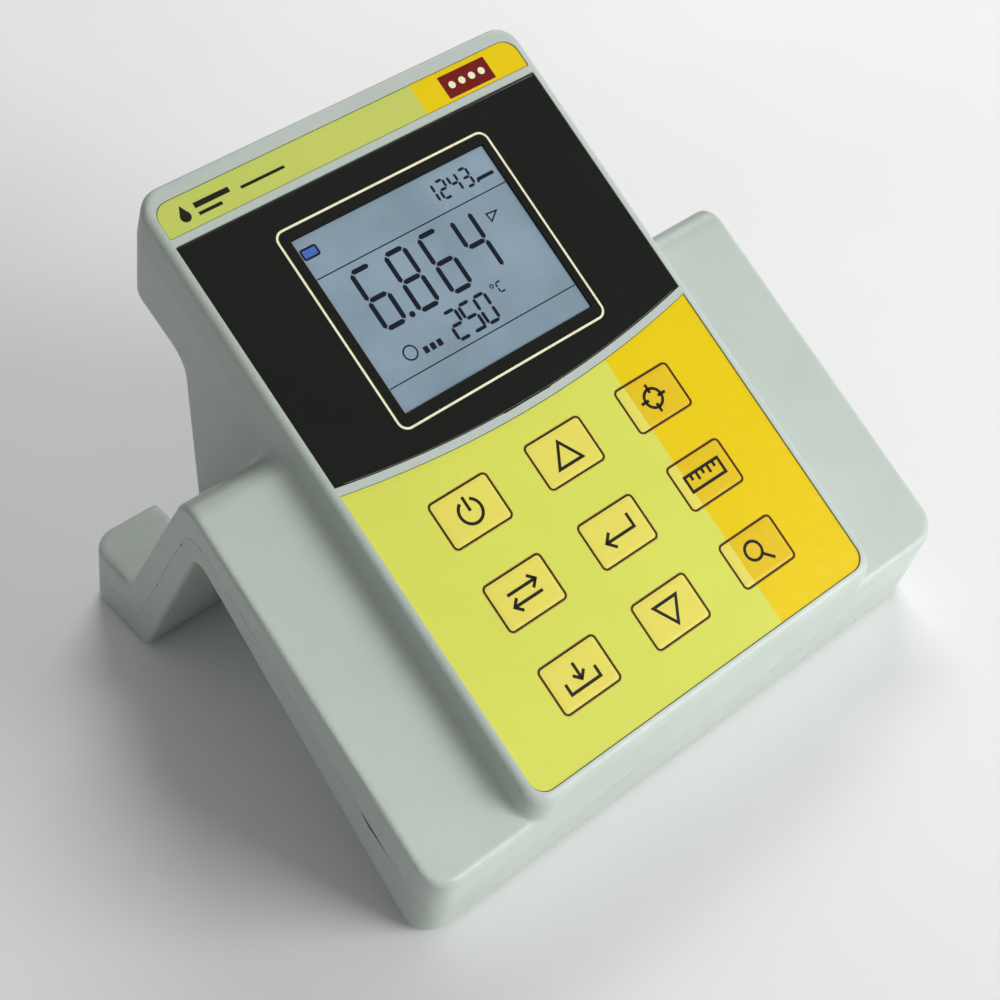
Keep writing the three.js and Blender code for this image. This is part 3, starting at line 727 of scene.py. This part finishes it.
# ------------------------------------------------------------------ header
def build_header():
    film = prisms("header_film", [header_outline(FILM_CLEAR)], -0.7, HEADER_LEVEL, PANEL)
    soften(film, 0.06, 2)
    dress(film, FINISH["film_header"], FINISH["film_gold"])
    two_tone(film, HEADER_GOLD_FROM)
    shade(film)
    fit(film, "case", "film_lime", "header_label")

    middle = 167.1
    tile_outline = rectangle(39.7, middle, 16, 6.8, 0.3)
    tile = print_marks("header_tile", HEADER_LEVEL, fills=[tile_outline])
    dress(tile, FINISH["ink_red"])
    spots = [circle(34.6 + 3.4 * k, middle, 1.05, 28) for k in range(4)]
    dots = print_marks("header_dots", HEADER_LEVEL + INK, fills=spots)
    dress(dots, FINISH["ink_cream"])
    drop = circle(-51.5, 166.4, 1.5, 28, 140, 260) + points((-51.5, 169.6))
    bars = [
        (points((-48, 168), (-37.5, 168)), 1.5, False),
        (points((-48, 165.6), (-41, 165.6)), 0.9, False),
        (points((-34.5, 167), (-21, 167)), 0.8, False),
    ]
    sign = print_marks("header_sign", HEADER_LEVEL, fills=[drop], strokes=bars)
    dress(sign, FINISH["ink_dark"])
    for mark in (tile, dots, sign):
        fit(mark, "case", "film_lime")


# ------------------------------------------------------------------ display
FRAME_LINE = {"x": 0.05, "v": 122.65, "width": 68.9, "height": 59.3, "radius": 2.6}


def build_window():
    rings = [(0.15, 0, -1.5), (0.15, 0, -0.75), (0.18, 0.35, -0.5), (0.24, 1.0, -0.32)]
    rings += [(0.32, 1.8, -0.23), (0.42, 2.8, WINDOW_LEVEL)]
    window = loft("display_cover", [(window_outline(clear, drop), level) for clear, drop, level in rings])
    combine(window, prisms("opening", [lcd_outline()], -3, 1, PANEL), "DIFFERENCE", "EXACT")
    shade(window, 40)
    dress(window, FINISH["window_black"])
    fit(window, "case", "window_black", "display_window")

    line = print_marks("display_frame", WINDOW_LEVEL, strokes=[(rectangle(**FRAME_LINE), 0.62, True)])
    dress(line, FINISH["ink_cream"])
    fit(line, "case", "window_black")


SEGMENTS = {
    "0": "abcdef", "1": "bc", "2": "abged", "3": "abgcd", "4": "fgbc",
    "5": "afgcd", "6": "afgcde", "8": "abcdefg", "C": "afed",
}
DISPLAY_LEVEL = -0.7
LCD_MARGIN = 0.4                # the rules across the display stop this short of its edges
RULES_V = (137.2, 104.0)
READOUTS = (
    {"text": "6864", "x": -22.1, "v": 117.6, "width": 6, "height": 17, "pitch": 10.95, "stroke": 1.35},
    {"text": "250", "x": -6.4, "v": 106.1, "width": 3.6, "height": 8, "pitch": 4.95, "stroke": 0.95},
    {"text": "1243", "x": 9.5, "v": 140.5, "width": 2.4, "height": 5.2, "pitch": 3.9, "stroke": 0.75},
    {"text": "C", "x": 11.6, "v": 111.9, "width": 1.7, "height": 2.8, "pitch": 3, "stroke": 0.45},
)


def digit_strokes(sign, x, v, width, height, stroke):
    """The lit bars of one seven-segment digit whose lower left corner is at (x, v)."""
    gap = stroke * 0.18
    middle = v + height / 2
    left, right, top = x, x + width, v + height
    bars = {
        "a": ((left + gap, top), (right - gap, top)),
        "b": ((right, top - gap), (right, middle + gap)),
        "c": ((right, middle - gap), (right, v + gap)),
        "d": ((left + gap, v), (right - gap, v)),
        "e": ((left, middle - gap), (left, v + gap)),
        "f": ((left, top - gap), (left, middle + gap)),
        "g": ((left + gap, middle), (right - gap, middle)),
    }
    return [bar_outline(*bars[name], stroke) for name in SEGMENTS[sign]]


def bar_outline(start, end, stroke):
    """One segment: a bar with pointed ends."""
    a, b = Vector(start), Vector(end)
    along = (b - a).normalized() * stroke / 2
    across = Vector((-along.y, along.x))
    return [a, a + along - across, b - along - across, b, b - along + across, a + along + across]


def number(text, x, v, width, height, pitch, stroke):
    outlines = []
    for k, sign in enumerate(text):
        outlines += digit_strokes(sign, x + k * pitch, v, width, height, stroke)
    return outlines


def build_display():
    rings = [(2.6, -4.6), (2.6, -1.95), (-0.12, -1.95), (-0.12, -0.78), (-0.2, DISPLAY_LEVEL)]
    cell = loft("lcd_cell", [(lcd_outline(grow, 0.2), level) for grow, level in rings])
    shade(cell, 30)
    dress(cell, FINISH["lcd_blue"])
    fit(cell, "case", "lcd_blue", "lcd_glass")

    left = LCD["x"] - LCD["width"] / 2 + LCD_MARGIN
    right = LCD["x"] + LCD["width"] / 2 - LCD_MARGIN
    marks = [outline for readout in READOUTS for outline in number(**readout)]
    marks += [circle(-13.7, 118, 0.85, 20), circle(1.9, 106.1, 0.5, 16)]
    marks += [rectangle(27.6, 141.2, 5.6, 1.0, 0.3), rectangle(24.9, 140.7, 0.7, 0.7)]
    marks += [rectangle(-16 + 2.2 * k, 108.3, 1.5, 1.9, 0.2) for k in range(3)]
    lines = [(points((left, v), (right, v)), 0.3, False) for v in RULES_V]
    lines += [(circle(-20.3, 109.6, 1.95, 32), 0.42, True), (circle(10.2, 114.4, 0.5, 16), 0.3, True)]
    lines += [(points((21.1, 131.9), (24.4, 131.6), (21.4, 129.5)), 0.4, True)]
    lines += [(rectangle(-28.2, 144.3, 4.6, 2.7, 0.5), 0.55, True)]
    digits = print_marks("lcd_digits", DISPLAY_LEVEL, fills=marks, strokes=lines)
    dress(digits, FINISH["lcd_ink"])
    badge = print_marks("lcd_badge", DISPLAY_LEVEL, fills=[rectangle(-28.2, 144.3, 4.0, 2.1, 0.3)])
    dress(badge, FINISH["lcd_badge"])
    for mark in (digits, badge):
        fit(mark, "case", "lcd_blue")


# ------------------------------------------------------------------ rear sockets
def at_socket(name):
    return REAR @ Matrix.Translation((SOCKETS[name], 0, 0))


def build_sockets():
    back = -GAP - PLATE["thickness"]
    rings = [(0.25, back), (0.25, -0.6), (0.33, -0.4), (0.5, -GAP)]
    levels = []
    for clear, level in rings:
        width, height = PLATE["width"] - 2 * clear, PLATE["height"] - 2 * clear
        levels.append((rectangle(0, 0, width, height, PLATE["corner"] - clear), level))
    plate = loft("socket_plate", levels, REAR)
    holes = [circle(SOCKETS[name], 0, radius) for name, radius in HOLES.items()]
    combine(plate, prisms("holes", holes, -4, 1, REAR), "DIFFERENCE", "EXACT")
    shade(plate, 40)
    dress(plate, FINISH["black_plastic"])
    fit(plate, "case", "black_plastic", "connector_plate")

    rings = [(circle(SOCKETS[name], 0, radius), 0.35, True) for name, radius in PRINTED_RINGS.items()]
    marks = print_marks("socket_rings", -GAP, strokes=rings, place=REAR)
    dress(marks, FINISH["ink_cream"])
    fit(marks, "case", "black_plastic")

    barrel = [(0, -11), (5.2, -11), (5.4, -10.8)]
    for k in range(12):
        barrel += [(5.4, -10.4 + 0.8 * k), (5.15, -10.0 + 0.8 * k)]
    barrel += [(5.4, -0.4), (5.4, 0.05), (7.2, 0.05), (7.4, 0.25), (7.4, 1.5), (7.2, 1.7), (5.5, 1.7)]
    barrel += [(5.4, 1.8), (5.4, 3.3), (5.2, 3.7), (4.8, 3.9), (4.8, 11.8), (4.65, 12), (4.25, 12)]
    barrel += [(4.1, 11.8), (4.1, 2), (0, 2)]
    bnc = lathe("bnc_barrel", barrel, at_socket("bnc"), 72)
    across = at_socket("bnc") @ Matrix.Translation((0, 0, 9)) @ Matrix.Rotation(math.pi / 2, 4, "X")
    pin_profile = [(0, -5.8), (0.8, -5.8), (0.95, -5.6), (0.95, 5.6), (0.8, 5.8), (0, 5.8)]
    lug = lathe("lug", pin_profile, across, 24)
    combine(bnc, lug, "UNION", "EXACT")
    bore = prisms("bore", [circle(0, 0, 4.1, 72)], 2.2, 13, at_socket("bnc"))
    combine(bnc, bore, "DIFFERENCE", "EXACT")
    shade(bnc)
    dress(bnc, FINISH["nickel"])
    fit(bnc, "case", "nickel", "bnc_socket")

    insulator = [(0, 2.3), (2.2, 2.3), (2.3, 2.4), (2.3, 10.2), (2.1, 10.4), (1.35, 10.4)]
    insulator += [(1.2, 10.25), (1.2, 3.6), (0, 3.6)]
    contact = [(0, 3.9), (0.8, 3.9), (0.8, 9.7), (0.65, 10), (0.45, 10), (0.4, 9.6), (0.4, 7), (0, 7)]
    sleeve = [(0, -10), (3.4, -10), (3.4, 0.05), (5.0, 0.05), (5.2, 0.25), (5.2, 1.3), (5.0, 1.5)]
    sleeve += [(3.9, 1.9), (3.4, 2.1), (3.4, 2.4), (3.2, 2.6), (1.95, 2.6), (1.8, 2.45), (1.8, -6), (0, -6)]
    jack = [(0, -10), (4.4, -10), (4.4, 0.05), (5.8, 0.05), (6, 0.25), (6, 1.3), (5.6, 1.8), (3.1, 1.8)]
    jack += [(2.9, 1.6), (2.9, -7), (0, -7)]
    pin = [(0, -6.7), (1, -6.7), (1, 0.5), (0.85, 0.9), (0.5, 1.15), (0, 1.2)]
    for name, profile, socket, slot in (
        ("bnc_insulator", insulator, "bnc", "ptfe"),
        ("bnc_contact", contact, "bnc", "gold"),
        ("temperature_socket", sleeve, "temperature", "nickel"),
        ("power_socket", jack, "power", "black_plastic"),
        ("power_pin", pin, "power", "nickel"),
    ):
        piece = lathe(name + "_turned", profile, at_socket(socket), 56)
        shade(piece, 40)
        dress(piece, FINISH[slot])
        fit(piece, "case", slot, name)


# ------------------------------------------------------------------ feet and screws
def build_underside():
    foot = [(0, 0.25), (2.6, 0.2), (2.9, 0), (FOOT_RADIUS - 0.9, 0), (FOOT_RADIUS - 0.35, 0.12)]
    foot += [(FOOT_RADIUS, 0.5), (FOOT_RADIUS, 1.9), (FOOT_RADIUS - 0.2, 2.1), (0, 2.1)]
    for name, (x, y) in FEET.items():
        piece = lathe(name + "_pad", foot, Matrix.Translation((x, y, 0)), 48)
        shade(piece, 45)
        dress(piece, FINISH["rubber"])
        fit(piece, "case", "rubber", name)
    head = [(0, 1.35), (2.2, 1.35), (2.7, 1.5), (3, 1.9), (3, 3.3), (1.45, 3.3)]
    for k in range(14):
        head += [(1.45, 3.7 + 0.85 * k), (1.15, 4.1 + 0.85 * k)]
    head += [(1.2, 16), (0, 17)]
    for k, (x, y) in enumerate(POSTS):
        screw = lathe(f"case_screw_{k + 1}_turned", head, Matrix.Translation((x, y, 0)), 40)
        for width, depth in ((3.4, 0.75), (0.75, 3.4)):
            combine(screw, prisms("slot", [rectangle(x, y, width, depth)], 0, 2.6), "DIFFERENCE", "EXACT")
        shade(screw, 40)
        dress(screw, FINISH["steel"])
        fit(screw, "case", "steel", f"case_screw_{k + 1}")


# ------------------------------------------------------------------ finishes
class Finish:
    """A node material whose colour, roughness and bump follow noise in the object's own space."""

    def __init__(self, name, roughness, **sockets):
        self.material = bpy.data.materials.new(name)
        self.material.use_nodes = True
        self.tree = self.material.node_tree
        self.shader = self.tree.nodes["Principled BSDF"]
        self.shader.inputs["Roughness"].default_value = roughness
        for socket, value in sockets.items():
            self.shader.inputs[socket.replace("_", " ")].default_value = value
        self.place = self.tree.nodes.new("ShaderNodeTexCoord").outputs["Object"]

    def noise(self, size, detail=3.0, stretch=(1, 1, 1)):
        """Noise whose features are about size millimetres."""
        mapping = self.tree.nodes.new("ShaderNodeMapping")
        mapping.inputs["Scale"].default_value = stretch
        self.tree.links.new(self.place, mapping.inputs["Vector"])
        noise = self.tree.nodes.new("ShaderNodeTexNoise")
        noise.inputs["Scale"].default_value = 1 / (size * MM)
        noise.inputs["Detail"].default_value = detail
        self.tree.links.new(mapping.outputs["Vector"], noise.inputs["Vector"])
        return noise.outputs["Fac"]

    def colour(self, factor, first, second, low=0.3, high=0.7):
        ramp = self.tree.nodes.new("ShaderNodeValToRGB")
        ramp.color_ramp.elements[0].position = low
        ramp.color_ramp.elements[1].position = high
        ramp.color_ramp.elements[0].color = (*first, 1)
        ramp.color_ramp.elements[1].color = (*second, 1)
        self.tree.links.new(factor, ramp.inputs["Fac"])
        self.tree.links.new(ramp.outputs["Color"], self.shader.inputs["Base Color"])
        return self

    def roughness(self, factor, low, high):
        spread = self.tree.nodes.new("ShaderNodeMapRange")
        spread.inputs["From Min"].default_value = 0.3
        spread.inputs["From Max"].default_value = 0.7
        spread.inputs["To Min"].default_value = low
        spread.inputs["To Max"].default_value = high
        self.tree.links.new(factor, spread.inputs["Value"])
        self.tree.links.new(spread.outputs["Result"], self.shader.inputs["Roughness"])
        return self

    def bump(self, factor, depth, strength=0.5):
        bump = self.tree.nodes.new("ShaderNodeBump")
        bump.inputs["Distance"].default_value = depth * MM
        bump.inputs["Strength"].default_value = strength
        self.tree.links.new(factor, bump.inputs["Height"])
        self.tree.links.new(bump.outputs["Normal"], self.shader.inputs["Normal"])
        return self


def shades(colour, spread):
    """The same colour a little darker and a little lighter."""
    return tuple(c * (1 - spread) for c in colour), tuple(min(1, c * (1 + spread)) for c in colour)


def moulded(name, colour, roughness, grain=0.35, depth=0.03, spread=0.03):
    finish = Finish(name, roughness)
    finish.colour(finish.noise(22, 4), *shades(colour, spread))
    finish.roughness(finish.noise(3, 5), roughness - 0.06, roughness + 0.06)
    finish.bump(finish.noise(grain, 2), depth)
    return finish.material


def film(name, colour):
    finish = Finish(name, 0.32, Specular_IOR_Level=0.35)
    finish.colour(finish.noise(40, 3), *shades(colour, 0.02))
    finish.roughness(finish.noise(2.5, 5), 0.27, 0.39)
    finish.bump(finish.noise(0.5, 2), 0.012)
    return finish.material


def ink(name, colour, roughness=0.4):
    finish = Finish(name, roughness, Specular_IOR_Level=0.25)
    finish.colour(finish.noise(1.5, 4), *shades(colour, 0.08))
    finish.roughness(finish.noise(0.8, 3), roughness - 0.08, roughness + 0.08)
    return finish.material


def polished(name, colour, roughness):
    finish = Finish(name, roughness)
    finish.colour(finish.noise(30, 3), *shades(colour, 0.15))
    finish.roughness(finish.noise(14, 6), roughness * 0.7, roughness * 1.5)
    finish.bump(finish.noise(18, 1), 0.01, 0.3)
    return finish.material


def plated(name, colour, roughness):
    finish = Finish(name, roughness, Metallic=1.0)
    finish.colour(finish.noise(2, 4), *shades(colour, 0.06))
    finish.roughness(finish.noise(0.7, 5, (1, 1, 6)), roughness * 0.7, roughness * 1.4)
    finish.bump(finish.noise(0.25, 3, (1, 1, 8)), 0.01, 0.35)
    return finish.material


FINISH = {
    "case_grey": moulded("case_grey", (0.46, 0.52, 0.475), 0.42),
    "case_base": moulded("case_base", (0.44, 0.50, 0.455), 0.44),
    "film_lime": film("film_lime", (0.64, 0.68, 0.10)),
    "film_header": film("film_header", (0.53, 0.59, 0.12)),
    "film_gold": film("film_gold", (0.77, 0.56, 0.0)),
    "film_key": film("film_key", (0.74, 0.66, 0.11)),
    "film_key_gold": film("film_key_gold", (0.72, 0.50, 0.01)),
    "window_black": polished("window_black", (0.005, 0.006, 0.004), 0.07),
    "lcd_blue": polished("lcd_blue", (0.22, 0.30, 0.37), 0.22),
    "lcd_ink": ink("lcd_ink", (0.006, 0.008, 0.02), 0.35),
    "lcd_badge": ink("lcd_badge", (0.06, 0.14, 0.45), 0.35),
    "ink_brown": ink("ink_brown", (0.05, 0.012, 0.004)),
    "ink_dark": ink("ink_dark", (0.012, 0.010, 0.006)),
    "ink_red": ink("ink_red", (0.16, 0.006, 0.004)),
    "ink_cream": ink("ink_cream", (0.80, 0.80, 0.55)),
    "diffuser": moulded("diffuser", (0.85, 0.88, 0.88), 0.35, 0.6),
    "board_green": polished("board_green", (0.015, 0.14, 0.045), 0.3),
    "spacer_clear": moulded("spacer_clear", (0.68, 0.71, 0.69), 0.4),
    "black_plastic": moulded("black_plastic", (0.014, 0.015, 0.016), 0.45, 0.4),
    "rubber": moulded("rubber", (0.022, 0.024, 0.026), 0.8, 0.5, 0.06, 0.15),
    "steel": plated("steel", (0.48, 0.49, 0.51), 0.3),
    "nickel": plated("nickel", (0.62, 0.60, 0.55), 0.2),
    "gold": plated("gold", (0.80, 0.55, 0.15), 0.22),
    "ptfe": moulded("ptfe", (0.84, 0.83, 0.78), 0.45, 0.5),
}


def dress_cad_nodes():
    for node in frame["nodes"].values():
        for slot in node.material_slots:
            slot.material = FINISH[slot.material.name.split(".")[0]]


# ------------------------------------------------------------------ stage
def add_floor():
    half = 3.0
    corners = [(-half, -half, 0), (half, -half, 0), (half, half, 0), (-half, half, 0)]
    mesh = bpy.data.meshes.new("floor")
    mesh.from_pydata(corners, [], [(0, 1, 2, 3)])
    floor = bpy.data.objects.new("floor", mesh)
    bpy.context.scene.collection.objects.link(floor)
    finish = Finish("floor_paper", 0.7)
    finish.colour(finish.noise(120, 2), (0.90, 0.90, 0.90), (0.93, 0.93, 0.93))
    dress(floor, finish.material)


def add_light(name, place, aim, size, power):
    lamp = bpy.data.lights.new(name, "AREA")
    lamp.shape = "RECTANGLE"
    lamp.size, lamp.size_y = size
    lamp.energy = power
    light = bpy.data.objects.new(name, lamp)
    light.location = place
    light.rotation_euler = (Vector(aim) - Vector(place)).to_track_quat("-Z", "Y").to_euler()
    bpy.context.scene.collection.objects.link(light)


WORLD_STRENGTH = 0.27
CAMERA = {"lens": 69.5, "place": (-0.2433, -0.2779, 0.4194), "tilt": 44.23, "turn": -40.96}


def add_lights():
    middle = (0, 0, 0.06)
    add_light("key_softbox", (0.62, -1.15, 0.48), middle, (0.9, 0.6), 19)
    add_light("back_softbox", (0.62, 0.62, 0.80), middle, (0.7, 0.5), 5.5)
    world = bpy.data.worlds.new("studio")
    world.use_nodes = True
    sky = world.node_tree.nodes["Background"]
    sky.inputs["Color"].default_value = (1, 1, 1, 1)
    sky.inputs["Strength"].default_value = WORLD_STRENGTH
    bpy.context.scene.world = world


def add_camera():
    view = bpy.data.cameras.new("camera")
    view.lens = CAMERA["lens"]
    view.sensor_width = 36
    camera = bpy.data.objects.new("camera", view)
    camera.location = CAMERA["place"]
    camera.rotation_euler = (math.radians(CAMERA["tilt"]), 0, math.radians(CAMERA["turn"]))
    bpy.context.scene.collection.objects.link(camera)
    bpy.context.scene.camera = camera


build_case()
build_keypad()
build_header()
build_window()
build_display()
build_sockets()
build_underside()
dress_cad_nodes()
add_floor()
add_lights()
add_camera()
bpy.context.scene.view_settings.view_transform = "Standard"
